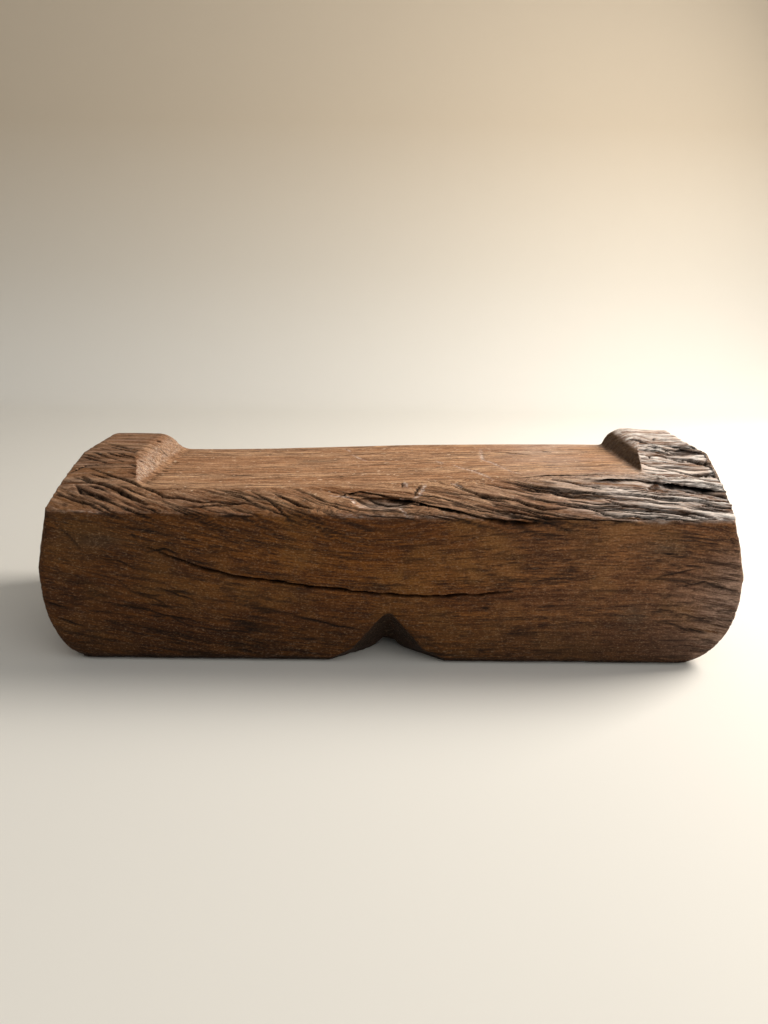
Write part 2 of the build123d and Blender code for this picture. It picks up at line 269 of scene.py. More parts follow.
# Noises of the finish: what each follows, the length and width of its streaks in millimetres, and its
# detail, roughness and waviness. Fibres, pores and grit are under half a millimetre wide, and are
# drawn wider so that they show.
STREAKS = {
    "fibre": ("grain", 20, 1.5, 4, 0.75, 0.7),
    "long_fibre": ("grain", 44, 3.0, 5, 0.8, 0.4),
    "streak": ("grain", 70, 4.5, 5, 0.7, 0.4),
    "band": ("grain", 240, 19, 3, 0.55, 0.0),
    "pores": ("grain", 10, 1.7, 2, 0.5, 0.5),
    "mottle": ("place", 17, 11, 5, 0.75, 0.0),
    "blotch": ("place", 62, 48, 3, 0.55, 0.0),
    "fleck": ("place", 4.5, 1.5, 2, 0.6, 0.0),
    "chalk": ("place", 5, 4.5, 2, 0.6, 0.0),
    "grit": ("place", 1.9, 1.3, 2, 0.7, 0.0),
}

# Colours of the wood, each a base with coats laid over it in turn. A colour is a hex code or one made
# above. A coat's strength is a product of values, each read from one range and turned into another.
COLOURS = {
    "heartwood": ("2a1303",
                  ("8d5620", ("figure", 0.42, 0.58, 0, 1)),
                  ("5f3310", ("band", 0.42, 0.62, 0, 0.5)),
                  ("8f6230", ("blotch", 0.48, 0.66, 0, 0.5))),
    "rubbed": ("5e3821",
               ("d8aa82", ("fibre_with_crest_highlight", 0.40, 0.58, 0, 1)),
               ("a87046", ("band", 0.40, 0.60, 0, 0.45))),
    "silver": ("72503a",
               ("fdf5ee", ("figure_with_crest_highlight", 0.40, 0.58, 0, 1))),
    "dust_and_highlight_tone": ("9c725c",
              ("e8d3c4", ("fleck", 0.40, 0.60, 0, 1))),
    "ringed": ("3a2212",
               ("b08a62", ("ring_tone", 0, 1, 0, 1))),
    "wood": ("heartwood",
             ("rubbed", ("tan", 0, 1, 0, 1)),
             ("silver", ("weather_and_painted_light", 0, 1, 0, 1)),
             ("dust_and_highlight_tone", ("dust", 0, 1, 0, 1)),
             ("ringed", ("ends", 0, 1, 0, 0.45)),
             # Fine splits of the end grain
             ("120905", ("off_split", 0, 0.016, 0.9, 0), ("mottle", 0.42, 0.50, 0, 1),
              ("ends", 0.9, 1, 0, 1)),
             # Stains, then painted shade, then dark patches
             ("4d453a", ("stain", 0, 1, 0, 1), ("streak", 0.38, 0.6, 0.4, 1)),
             ("170a03", ("low", 0, 1, 0, 0.95)),
             ("3a2010", ("mottle", 0.38, 0.47, 0.5, 0), ("tan", 0, 1, 1, 0.45)),
             # Dark grit and pale grit
             ("180b04", ("grit", 0.36, 0.58, 0.32, 0), ("weather_and_painted_light", 0, 0.6, 1, 0.15)),
             ("e8c8a4", ("grit", 0.56, 0.70, 0, 0.12)),
             # Chalky spots and pale specks
             ("f4dcc0", ("chalk", 0.64, 0.73, 0, 0.55), ("tan", 0, 1, 0, 1)),
             ("f0d6b8", ("fleck", 0.60, 0.72, 0, 0.6), ("tan", 0, 1, 0.1, 0.42)),
             # Pores, then painted shade in the checks, splits and creases and on the bank over the deepest
             # check
             ("1c0d05", ("pores", 0.32, 0.42, 0.6, 0), ("weather_and_painted_light", 0.1, 0.9, 1, 0.5)),
             ("0c0603", ("split", 0, 1, 0, 0.95))),
}

# The camera of the photograph, in the part's frame
CAMERA_PLACE = (-6.9 * MM, -714.3 * MM, 329.1 * MM)
CAMERA_PITCH = math.radians(17.3)
CAMERA_ROLL = math.radians(0.6)
CAMERA_FOCUS_PIXELS = 770
PHOTO_HEIGHT_PIXELS = 1024
SENSOR_HEIGHT = 36.0

# The two lamps: place, what they point at, size, watts and colour
WINDOW = ((1.35, 0.4, 1.05), (0, 0, 0.12), 0.7, 41, "fff6ea")
ROOM = ((1.3, -1.5, 0.9), (0, 0, 0.08), 1.4, 7, "fff8f0")
# Which way the room is brightest, and how bright it is away from there and towards it
BRIGHT_WAY = (0.8, -0.1, 0.6)
DIM_SIDE, BRIGHT_SIDE = 0.14, 0.6


def linear(code):
    """A colour from its sRGB hex code, as linear red, green, blue and full alpha."""
    parts = [int(code[i:i + 2], 16) / 255 for i in (0, 2, 4)]
    return [p / 12.92 if p <= 0.04045 else ((p + 0.055) / 1.055) ** 2.4 for p in parts] + [1.0]


def add_node(tree, kind, inputs=None, **settings):
    """Adds a node: settings are its own properties, and inputs are socket values or what feeds them."""
    node = tree.nodes.new(kind)
    for name, value in settings.items():
        setattr(node, name, value)
    for key, value in (inputs or {}).items():
        if isinstance(value, bpy.types.NodeSocket):
            tree.links.new(value, node.inputs[key])
        else:
            node.inputs[key].default_value = value
    return node


def smooth(value, start, end):
    """0 below start, 1 above end, and a smooth rise between them."""
    t = np.clip((value - start) / (end - start), 0, 1)
    return t * t * (3 - 2 * t)


def along_table(x, table):
    """A value from a table of (x, value) pairs, in line between them."""
    xs, values = zip(*table)
    return np.interp(x, xs, values)


def lines_a_slit(tree, face):
    """Whether a face is a wall of a slit, with another face close in front of it, or a slit's end."""
    middle = face.calc_center_median()
    if middle.z < SLIT_FLOOR:
        return False
    if face.normal.y < -0.99 and middle.y > SLIT_END:
        return True
    starts = [middle] + [middle.lerp(corner.co, 0.7) for corner in face.verts]
    hits = (tree.ray_cast(start + face.normal * RAY_START, face.normal, SLIT_WIDTH)[0] for start in starts)
    return any(hit is not None for hit in hits)


def largest_island(bm):
    """The faces of the largest connected piece."""
    left = set(bm.faces)
    best = []
    while left:
        stack = [left.pop()]
        island = []
        while stack:
            face = stack.pop()
            island.append(face)
            for edge in face.edges:
                for other in edge.link_faces:
                    if other in left:
                        left.remove(other)
                        stack.append(other)
        best = max(best, island, key=len)
    return best


def rim_of(edge):
    """The corners round one hole, in order, starting from one edge of its rim."""
    ring = list(edge.verts)
    while True:
        ahead = [e for e in ring[-1].link_edges if e.is_boundary and not e.tag]
        if not ahead:
            return ring
        ahead[0].tag = True
        corner = ahead[0].other_vert(ring[-1])
        if corner is ring[0]:
            return ring
        ring.append(corner)


def close_holes(bm):
    """Joins the two sides of each long hole, nearest corners first, so it also closes round an edge."""
    for edge in bm.edges:
        edge.tag = False
    for edge in [e for e in bm.edges if e.is_boundary]:
        if edge.tag:
            continue
        edge.tag = True
        ring = rim_of(edge)
        while len(ring) > 3:
            spans = [(ring[i - 1].co - ring[(i + 1) % len(ring)].co).length for i in range(len(ring))]
            i = spans.index(min(spans))
            corner = ring[i - 1], ring[i], ring[(i + 1) % len(ring)]
            if bm.faces.get(corner) is None:
                bm.faces.new(corner)
            ring.pop(i)
        if len(ring) == 3 and bm.faces.get(ring) is None:
            bm.faces.new(ring)


def wood_without_slits():
    """A merged copy of the solid's mesh, with its checks and splits closed flush."""
    bm = bmesh.new()
    bm.from_mesh(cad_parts[NODE].data)
    bmesh.ops.remove_doubles(bm, verts=bm.verts, dist=MERGE_DISTANCE)
    bm.normal_update()
    tree = BVHTree.FromBMesh(bm)
    bmesh.ops.delete(bm, geom=[f for f in bm.faces if lines_a_slit(tree, f)], context="FACES")
    keep = set(largest_island(bm))
    bmesh.ops.delete(bm, geom=[f for f in bm.faces if f not in keep], context="FACES")
    close_holes(bm)
    bmesh.ops.recalc_face_normals(bm, faces=bm.faces)
    return bm


def remeshed(bm):
    """The wood as an even mesh of quads, stretched along the grain."""
    copy = bm.copy()
    bmesh.ops.scale(copy, vec=(LENGTH_SHARE, 1, 1), verts=copy.verts)
    mesh = bpy.data.meshes.new("remesh_source")
    copy.to_mesh(mesh)
    copy.free()
    holder = bpy.data.objects.new("remesh_source", mesh)
    bpy.context.scene.collection.objects.link(holder)
    modifier = holder.modifiers.new("even", "REMESH")
    modifier.mode = "VOXEL"
    modifier.voxel_size = VOXEL
    depsgraph = bpy.context.evaluated_depsgraph_get()
    result = bmesh.new()
    result.from_mesh(holder.evaluated_get(depsgraph).to_mesh())
    bpy.data.objects.remove(holder)
    bpy.data.meshes.remove(mesh)
    bmesh.ops.scale(result, vec=(1 / LENGTH_SHARE, 1, 1), verts=result.verts)
    return result


def settle(bm, tree):
    """Puts every vertex on the wood's own surface."""
    for vert in bm.verts:
        vert.co = tree.find_nearest(vert.co)[0]


def points_of(bm):
    """Places and normals of the vertices, in millimetres, as two arrays."""
    bm.normal_update()
    places = np.array([v.co[:] for v in bm.verts]) / MM
    normals = np.array([v.normal[:] for v in bm.verts])
    return places, normals


def noise_at(places, pattern):
    """A pattern at each place, as smooth noise from about -1 to 1."""
    sizes, octaves, shift = pattern
    scaled = (places + shift) / np.array(sizes)
    return np.array([noise.fractal(Vector(p), 1.0, 2.0, octaves) for p in scaled])


class Skin:
    """Where each point lies round the girth, and how much of it belongs to each zone, from 0 to 1."""

    def __init__(self, places, normals):
        self.places = places
        self.x, self.y, self.z = places.T
        nx, ny, nz = normals.T
        side = np.sign(self.x)
        arris = np.interp(self.x, (LOW[0], HIGH[0]), (LEFT_ARRIS, RIGHT_ARRIS))
        deep, rise = self.y - FRONT, self.z - arris
        self.top = (nz > TOP_LEAN) & (self.z > TOP_FLOOR)
        self.under = (nz < UNDER_LEAN) & (self.z < 2)
        facing = (self.y < FRONT + FRONT_BAND) & (np.abs(nx) < FRONT_TURN)
        self.front = facing & ~self.top & ~self.under
        self.back = (ny > BACK_LEAN) & (self.y > BACK - BACK_BAND) & ~self.top
        outer = (np.abs(self.x) > END_START) & (nx * side > END_LEAN)
        self.end = outer & ~self.front & ~self.top
        within = (self.z < NOTCH_TOP) & (np.abs(self.x) < NOTCH_HALF)
        self.notch = within & ~self.under & (self.y > FRONT + 2) & (self.y < BACK - 2)
        near = rise + ARRIS_LEAN * deep
        over = near + (np.hypot(deep, rise) - near) * smooth(deep, 6, 20)
        girth = np.where(self.top, over, rise)
        self.even = np.where(self.top & (deep > 20), np.hypot(deep, np.minimum(rise, GRAIN_RISE)), girth)
        girth = np.where(self.back, TOP_GIRTH + HIGH[2] - self.z, girth)
        self.girth = np.where(self.under, -arris - deep, girth)
        self.shares(nx * side, deep)

    def shares(self, outward, deep):
        """Soft shares of the seat, the wane, the face and the lips' inner faces, and how calm the wood is
        where a lip leans to the seat."""
        skirt = self.top | self.front
        wander = 3.5 * noise_at(self.places, WANDER) + 2.2 * noise_at(self.places, FINE_WANDER)
        self.wander = wander
        upper = smooth(self.girth + wander, -3, 4) * skirt
        lip = (np.abs(self.x) > LIP_START) & self.top & (self.z > LIP_FLOOR)
        above = np.where(self.x > 0, smooth(self.girth, 56, 68), 1.0)
        steep = np.where(self.x > 0, smooth(-outward, 0.5, 0.72), smooth(-outward, 0.36, 0.6))
        self.inner = steep * lip * above
        self.calm = smooth(-outward, 0.08, 0.26) * lip * smooth(self.girth, 48, 62)
        edge = along_table(self.x, SEAT_EDGE)
        between = smooth(self.x, SEAT_LEFT - 6, SEAT_LEFT + 8)
        between = between * (1 - smooth(self.x, SEAT_RIGHT - 8, SEAT_RIGHT + 6))
        self.seat = smooth(self.girth + 1.6 * wander - edge, -14, 11) * between * self.top
        self.seat = self.seat * (1 - self.inner)
        self.wane = upper * (1 - self.seat) * (1 - self.inner)
        self.face = skirt * (1 - upper)


def flow_offset(x, table):
    """How far the grain has run round the girth between the middle and x, from its slopes."""
    xs = np.linspace(LOW[0], HIGH[0], 200)
    slopes = along_table(xs, table)
    run = np.concatenate(([0], np.cumsum((slopes[1:] + slopes[:-1]) / 2 * np.diff(xs))))
    return np.interp(x, xs, run) - np.interp(0, xs, run)


def grain_places(skin):
    """Places as the grain sees them: along it, across it round the girth, and in depth."""
    lower = 1 - smooth(skin.girth + skin.wander, -1.5, 1.5)
    over_edge = skin.girth + 1.6 * skin.wander - along_table(skin.x, SEAT_EDGE)
    upper = (1 - lower) * (1 - smooth(over_edge, -2, 2))
    drop = flow_offset(skin.x, WANE_SLOPES) * upper + flow_offset(skin.x, FACE_SLOPES) * lower
    dx, dv = (skin.x - KNOT_X) / 1.7, skin.girth - KNOT_GIRTH
    swing = np.exp(-(dx ** 2 + dv ** 2) / (2 * KNOT_REACH ** 2))
    bow = np.sign(dv) * -14 * swing * (1 - np.exp(-np.abs(dv) / 8)) * (skin.face + skin.wane)
    depth = np.where(skin.top | skin.under, skin.z, skin.y)
    across = np.where(skin.back | skin.under, skin.girth, skin.even)
    return np.column_stack((skin.x, across - drop + bow, depth))


def reach_of(x, v, line):
    """For each place, its distance from the line, and how far along the line that is, from 0 to 1."""
    points = np.array(line, float)
    steps = np.hypot(*np.diff(points, axis=0).T)
    nearest = np.full(len(x), np.inf)
    along = np.zeros(len(x))
    done = 0.0
    for (ax, av), (bx, bv), step in zip(points[:-1], points[1:], steps):
        t = np.clip(((x - ax) * (bx - ax) + (v - av) * (bv - av)) / step ** 2, 0, 1)
        distance = np.hypot(x - ax - t * (bx - ax), v - av - t * (bv - av))
        closer = distance < nearest
        nearest[closer] = distance[closer]
        along[closer] = (done + t[closer] * step) / steps.sum()
        done += step
    return nearest, along


def grown_lines(rng, count, x_range, girth_range, lengths, slopes):
    """Lines that follow the grain from random places, as small drying checks do."""
    lines = []
    for _ in range(count):
        x = rng.uniform(*x_range)
        v = rng.uniform(*girth_range)
        length = rng.uniform(*lengths)
        steps = max(2, int(length / 9))
        line = [(x, v)]
        for _ in range(steps):
            slope = float(along_table(x, slopes)) + rng.uniform(-0.12, 0.12)
            x += length / steps
            v += slope * length / steps
            line.append((x, v))
        lines.append(line)
    return lines


def small_checks():
    """Fine checks that nobody would place by hand: width, depth and line."""
    rng = random.Random(41)
    level = ((-300, 0.0), (300, 0.0))
    # Each group: how many, from and to in x and in girth, length, slope of the grain, width and depth
    groups = (
        (50, (-296, -215), (4, 165), (14, 46), WANE_SLOPES, (1.5, 2.4), (1.2, 3.6)),
        (50, (222, 290), (8, 165), (16, 50), WANE_SLOPES, (1.5, 2.6), (1.5, 4.5)),
        (50, (-215, 60), (3, 40), (24, 80), WANE_SLOPES, (1.1, 1.6), (0.8, 2.4)),
        (50, (60, 225), (3, 54), (30, 90), WANE_SLOPES, (1.2, 2.0), (1.2, 3.6)),
        (44, (222, 290), (-126, -30), (10, 36), FACE_SLOPES, (1.1, 1.5), (0.5, 1.4)),
        (90, (-296, 285), (-130, -4), (12, 50), FACE_SLOPES, (1.3, 1.6), (0.4, 1.2)),
        (34, (-296, -120), (-130, -60), (14, 50), FACE_SLOPES, (1.4, 1.9), (0.8, 1.8)),
        (30, (-205, 215), (66, 200), (10, 46), level, (1.3, 1.6), (0.3, 0.9)),
        (46, (-290, 260), (225, 380), (30, 120), level, (1.8, 3.2), (1.0, 4.0)),
        (40, (-270, 240), (-345, -140), (30, 120), level, (1.8, 3.2), (1.0, 3.5)),
    )
    checks = []
    for count, xs, girths, lengths, slopes, widths, depths in groups:
        for line in grown_lines(rng, count, xs, girths, lengths, slopes):
            checks.append((rng.uniform(*widths), rng.uniform(*depths), line))
    return checks


def near_lines(skin, marks, margin):
    """Which points lie within a margin of a mark's line."""
    near = np.zeros(len(skin.x), bool)
    for width, _, line in marks:
        near |= reach_of(skin.x, skin.girth, line)[0] < width / 2 + margin
    return near


def refine(bm, wanted):
    """Splits in four the faces that have a wanted corner."""
    for vert, want in zip(bm.verts, wanted):
        vert.tag = bool(want)
    faces = [f for f in bm.faces if any(v.tag for v in f.verts)]
    edges = {e for f in faces for e in f.edges}
    bmesh.ops.subdivide_edges(bm, edges=list(edges), cuts=1, use_grid_fill=True)


def carve(skin, marks, wobble_x, wobble_v):
    """Depth of the marks at each point, and how far into a mark it lies, from 0 to 1."""
    depth = np.zeros(len(skin.x))
    inside = np.zeros(len(skin.x))
    plain = ~(skin.end | skin.notch)
    for width, deepest, line in marks:
        distance, along = reach_of(skin.x + wobble_x, skin.girth + wobble_v, line)
        taper = np.sqrt(np.clip(np.sin(math.pi * np.clip(along, 0.02, 0.98)), 0, 1))
        half = width / 2 * (0.35 + 0.65 * taper)
        share = np.clip(1 - distance / half, 0, 1) * plain
        depth = np.maximum(depth, deepest * taper * share ** 0.75)
        shade = smooth(1 - distance / (half + 0.5), 0.0, 0.5) * (0.35 + 0.65 * taper) * plain
        inside = np.maximum(inside, shade * min(1.0, 0.4 + deepest / 4))
    return depth, inside


def level_cuts(skin, normals, wobble_x, wobble_v):
    """How far the level checks push each point straight in, as vectors, and how far into one it lies."""
    inward = np.column_stack((-normals[:, 0], -normals[:, 1], np.zeros(len(skin.x))))
    inward /= np.maximum(np.hypot(inward[:, 0], inward[:, 1]), 0.05)[:, None]
    push = np.zeros(len(skin.x))
    inside = np.zeros(len(skin.x))
    for width, reach, line in LEVEL_CHECKS:
        start, stop = line[0][0], line[-1][0]
        distance, _ = reach_of(skin.x + 0.4 * wobble_x, skin.girth + 0.4 * wobble_v, line)
        taper = smooth(skin.x, start, start + 0.15 * (stop - start))
        taper = taper * (1 - smooth(skin.x, stop - 14, stop))
        half = width / 2 * (0.4 + 0.6 * taper)
        near = (skin.top | skin.front | skin.end) & (skin.z > 110)
        share = np.clip(1 - distance / half, 0, 1) * near
        push = np.maximum(push, reach * taper * share ** 0.45)
        inside = np.maximum(inside, smooth(1 - distance / (half + 0.5), 0, 0.45) * near * np.sqrt(taper))
    return inward * push[:, None], inside


def gutter(skin, wobble):
    """Shares of the gutter below the deepest check, and of the broken bank over it."""
    xs, girths = zip(*LEVEL_CHECKS[1][2])
    over = skin.girth + wobble - np.interp(skin.x, xs, girths)
    reach = smooth(skin.x, 186, 240) * skin.top * (1 - skin.seat)
    slope = np.clip(1 + over / GUTTER_WIDTH, 0, 1) ** 1.6 * (over <= 0)
    bank = np.clip(1 - over / BANK_WIDTH, 0, 1) * (over > 0)
    return (slope + bank) * reach, np.clip(1.3 - np.abs(over - 3.5) / 5.5, 0, 1) * reach


def radial_checks(skin):
    """Depth of the splits that open from the heart on the two ends."""
    depth = np.zeros(len(skin.x))
    for side, seed in ((-1, 5), (1, 9)):
        rng = random.Random(seed)
        on_end = skin.end & (skin.x * side > 0)
        heart_y, heart_z = rng.uniform(0, 30), rng.uniform(55, 80)
        angle = np.arctan2(skin.z - heart_z, skin.y - heart_y)
        out = np.hypot(skin.y - heart_y, skin.z - heart_z)
        for _ in range(SPLITS_PER_END):
            aim = rng.uniform(-math.pi, math.pi)
            start, stop = sorted((rng.uniform(0, 110), rng.uniform(10, 150)))
            bend = rng.uniform(-0.12, 0.12)
            off = np.abs((angle - aim - bend * out / 60 + math.pi) % (2 * math.pi) - math.pi) * out
            half = rng.uniform(1.4, 2.4)
            reach = smooth(out, start - 12, start + 6) * (1 - smooth(out, stop - 10, stop + 8))
            depth = np.maximum(depth, np.clip(1 - off / half, 0, 1) * reach * rng.uniform(1.5, 4) * on_end)
    return depth


def chips(skin):
    """Small flakes lost along the arris and along the foot of the front face."""
    rng = random.Random(23)
    depth = np.zeros(len(skin.x))
    for _ in range(CHIP_COUNT):
        x = rng.uniform(-290, 290)
        v = rng.choice((rng.gauss(0, 2.0), rng.gauss(0, 2.5), rng.gauss(-134, 2.0)))
        length, height, sink = rng.uniform(3, 14), rng.uniform(1.8, 4.5), rng.uniform(0.4, 1.6)
        share = np.clip(1 - ((skin.x - x) / length) ** 2 - ((skin.girth - v) / height) ** 2, 0, 1)
        depth = np.maximum(depth, sink * np.sqrt(share) * (skin.front | skin.top))
    return depth


def creases_along(ridges, patches, width, skin):
    """Creases where ridges pass through zero, kept to patches and off what leans towards the seat."""
    return patches * np.exp(-(ridges / width) ** 2) * (1 - skin.calm)


def pocket_of(skin):
    """How far into the broken hollow over the knot each point lies, from 0 to 1."""
    from_hollow = np.hypot((skin.x - HOLLOW_X) / HOLLOW_LENGTH,
                           (skin.girth - HOLLOW_GIRTH) / HOLLOW_HEIGHT)
    return (1 - smooth(from_hollow, 0.55, 1.0)) * (skin.wane + skin.face)


def roughness_of(skin, pocket):
    """How rough each point is: 1 on the round of the log, and less elsewhere."""
    rough = skin.wane + FACE_ROUGH * skin.face + SEAT_ROUGH * skin.seat + INNER_ROUGH * skin.inner
    rough = np.where(skin.end | skin.notch, END_ROUGH, rough)
    rough = np.where(skin.back | skin.under, BACK_ROUGH, rough)
    return np.maximum(rough, POCKET_ROUGH * pocket)


def relief(skin, normals, grain):
    """How far each point moves into the wood, as vectors in millimetres, and the masks for the finish,
    with painted shade in the checks and creases and a painted highlight on the crests.
    """
    wobble_x = 1.6 * noise_at(skin.places, WOBBLE_ALONG)
    wobble_v = 1.3 * noise_at(skin.places, WOBBLE_ROUND)
    swell = 0.5 - 0.5 * noise_at(skin.places, SWELLS)
    ridges = noise_at(grain, RIDGES)
    fine_ridges = noise_at(grain, FINE_RIDGES)
    lumps = noise_at(grain, LUMPS)
    grit = noise_at(skin.places, GRIT)
    patches = smooth(noise_at(grain, CREASED), -0.18, 0.22)
    fine_patches = smooth(noise_at(grain, FINELY_CREASED), -0.12, 0.22)
    creases = creases_along(ridges, patches, 0.10, skin)
    fine_creases = creases_along(fine_ridges, fine_patches, 0.15, skin)
    pocket = pocket_of(skin)
    rough = roughness_of(skin, pocket)
    hand = carve(skin, CHECKS, wobble_x, wobble_v)
    plain = np.maximum(skin.calm, skin.seat * (1 - smooth(skin.x, -190, -140)))
    fine = [part * (1 - plain) for part in carve(skin, small_checks(), wobble_x, wobble_v)]
    pale = carve(skin, SCRATCHES, wobble_x * 0.4, wobble_v * 0.4)
    worn, bank = gutter(skin, wobble_v)
    body = RIDGE_DEPTH * np.clip(0.5 - ridges, 0, 1.2) + CREASE_DEPTH * creases
    body = body + FINE_RIDGE_DEPTH * np.clip(0.5 - fine_ridges, 0, 1) + FINE_CREASE_DEPTH * fine_creases
    body = body + LUMP_DEPTH * smooth(skin.x, LUMPS_FROM, LUMPS_FULL) * np.clip(0.15 - lumps, 0, 0.9)
    body = body * np.where(skin.top | skin.front, along_table(skin.x, ROUGHNESS), 1.0)
    depth = np.where(skin.under, UNDER_SWELL_DEPTH, SWELL_DEPTH) * np.clip(swell, 0, 1.3)
    depth = depth + rough * body + GUTTER_SINK * worn
    depth = depth + GRIT_DEPTH * skin.inner * np.clip(0.5 - grit, 0, 1)
    depth = depth + GRIT_DEPTH * bank * np.clip(0.5 - grit, 0, 1.5)
    depth = depth + LIP_WEAR * smooth(skin.x, 222, 282) * skin.top * smooth(skin.girth, 50, 80)
    depth = depth + np.maximum.reduce((hand[0], fine[0], pale[0], radial_checks(skin))) + chips(skin)
    level, level_inside = level_cuts(skin, normals, wobble_x, wobble_v)
    # Painted shade in the creases of the wane, on the steep bank over the deepest check and inside the
    # checks and splits
    crease_shade = np.clip(rough, 0, 1) * (0.9 * creases + 0.4 * fine_creases) * (1 - skin.seat)
    crease_shade = crease_shade * (0.15 + 0.65 * along_table(skin.x, ROUGHNESS))
    broken = 0.75 * bank * np.clip(0.7 + grit, 0.35, 1)
    split = np.maximum.reduce((hand[1], fine[1], crease_shade, broken, level_inside))
    shift = level - normals * depth[:, None]
    shift[:, 0] -= CORNER_WEAR * smooth(skin.x, 258, 298) * np.exp(-(skin.girth / 17) ** 2) * ~skin.under
    # Painted highlight on the crests of the wane's ridges and painted shade in its grooves, in part real
    # wear; 0.5 is neither
    crest_highlight = 0.5 + skin.wane * (smooth(ridges + 0.4 * fine_ridges, -0.4, 0.4) - 0.5)
    return shift, {"split": split, "pale": pale[1], "pocket": pocket, "lumps": lumps, "crest_highlight": crest_highlight}


def grey_and_painted_light(skin, blotch, masks):
    """How far the wood has weathered to grey, which is furthest on the right lip, with a painted highlight
    on the right of the seat and painted shade in the hollows of the right lip's lumps.
    """
    x, v = skin.x, skin.girth
    wane = along_table(x, WANE_GREY) * np.clip(1 + 0.6 * blotch, 0.4, 1.5)
    # Painted shade: less grey, and so browner, in the hollows of the right lip's lumps
    wane = wane * (1 - 0.4 * (v > 60) * (x > 200) * (masks["lumps"] < 0))
    corner = smooth(x, 205, 275) * smooth(-v, 20, 70) * (1 - smooth(-v, 122, 140)) * skin.front
    haze = skin.front * (0.03 * smooth(x, 0, 180) + 0.09 * smooth(x, 255, 292) * smooth(-v, 5, 40))
    # Painted highlight on the right of the seat, towards the window, in part bleached wood
    seat_highlight_and_bleach = 0.24 * skin.seat * smooth(x, 40, 180) * np.clip(0.6 + blotch, 0, 1.2)
    grey = skin.wane * wane + 0.08 * corner + 0.25 * masks["pocket"] + haze + seat_highlight_and_bleach
    return np.where(skin.back | skin.under | skin.end, 0.28 + 0.2 * blotch, grey)


def tanned(skin):
    """How far the wood is golden and rubbed, as the seat is: in part on the wane and the inner faces."""
    on_wane = (0.3 + 0.36 * smooth(skin.girth, 0, 28)) * (1 - 0.38 * smooth(-skin.x, 215, 235))
    return skin.seat + skin.wane * on_wane + skin.inner * np.where(skin.x < 0, 0.6, 0.25)


def dust_and_arris_highlight(skin, blotch, pale):
    """Where pale wood or dust shows: the left lip's inner face and the scratches; and along the arris,
    pale wear with a painted highlight.
    """
    dust = skin.inner * (skin.x < 0) * (1 - 0.35 * smooth(skin.y, -60, 60))
    dust = dust * np.clip(0.8 + 0.13 * skin.wander, 0.1, 1)
    dust = np.maximum(dust, np.clip(1.7 * pale, 0, 1))
    # Painted highlight along the arris, in part pale wear
    arris_wear_and_highlight = np.exp(-(skin.girth / 2.2) ** 2) * np.clip(0.3 + 1.4 * blotch, 0, 1)
    return np.maximum(dust, 0.5 * arris_wear_and_highlight * (skin.front | skin.top))


def painted_shade(skin):
    """Painted shade: how much darker the wood is drawn where shade falls: the foot of the front face, with
    a painted shadow along its lowest edge, the left of the front face and of the seat, away from the
    window, the shaded inner face of the right lip, the notch and the underside."""
    x, v = skin.x, skin.girth
    low = skin.front * (1 - smooth(v, -135, -40)) * (1 - 0.5 * smooth(x, -50, 120))
    low = np.maximum(low, skin.front * 0.7 * (1 - smooth(x, -300, 60)))
    foot = smooth(x, -50, 120) * (1 - 0.75 * smooth(x, 235, 285)) * (1 - smooth(v, -125, -65))
    low = np.maximum(low, 0.9 * skin.front * foot)
    low = np.maximum(low, 0.08 * skin.seat * (1 - smooth(x, -200, -60)))
    low = np.maximum(low, 0.88 * skin.inner * (x > 0))
    # Painted shadow along the lowest edge of the front face, where it meets the floor
    low = np.maximum(low, FULL_SHADE * skin.front * smooth(-v, 125, 134))
    # The notch and the underside take the full painted shade
    return np.where(skin.notch | skin.under, FULL_SHADE, low)


def stained(skin):
    """How strongly the dark stains show."""
    stain = np.zeros(len(skin.x))
    for centre_x, centre_v, half_x, half_v, strength in STAINS:
        away = ((skin.x - centre_x) / half_x) ** 2 + ((skin.girth - centre_v) / half_v) ** 2
        stain += strength * np.exp(-away)
    return stain * (skin.front | skin.top)


def paint(mesh, name, red, green, blue):
    """Keeps three masks, each from 0 to 1, as one colour attribute of the mesh."""
    layer = mesh.color_attributes.new(name, "FLOAT_COLOR", "POINT")
    values = np.column_stack((red, green, blue, np.ones(len(red))))
    layer.data.foreach_set("color", np.clip(values, 0, 1).astype(np.float32).ravel())


def finish_masks(mesh, skin, grain, masks):
    """Writes the masks that the wood's material reads, and the grain's own coordinates."""
    blotch = noise_at(skin.places, BLOTCHES)
    ends = np.where(skin.end | skin.notch, 1.0, skin.inner)
    paint(mesh, "wear", grey_and_painted_light(skin, blotch, masks), tanned(skin), dust_and_arris_highlight(skin, blotch, masks["pale"]))
    paint(mesh, "marks", masks["split"], ends, stained(skin))
    paint(mesh, "shade", painted_shade(skin) / FULL_SHADE, masks["crest_highlight"], np.zeros(len(skin.x)))
    layer = mesh.attributes.new("grain", "FLOAT_VECTOR", "POINT")
    layer.data.foreach_set("vector", (grain * MM).astype(np.float32).ravel())


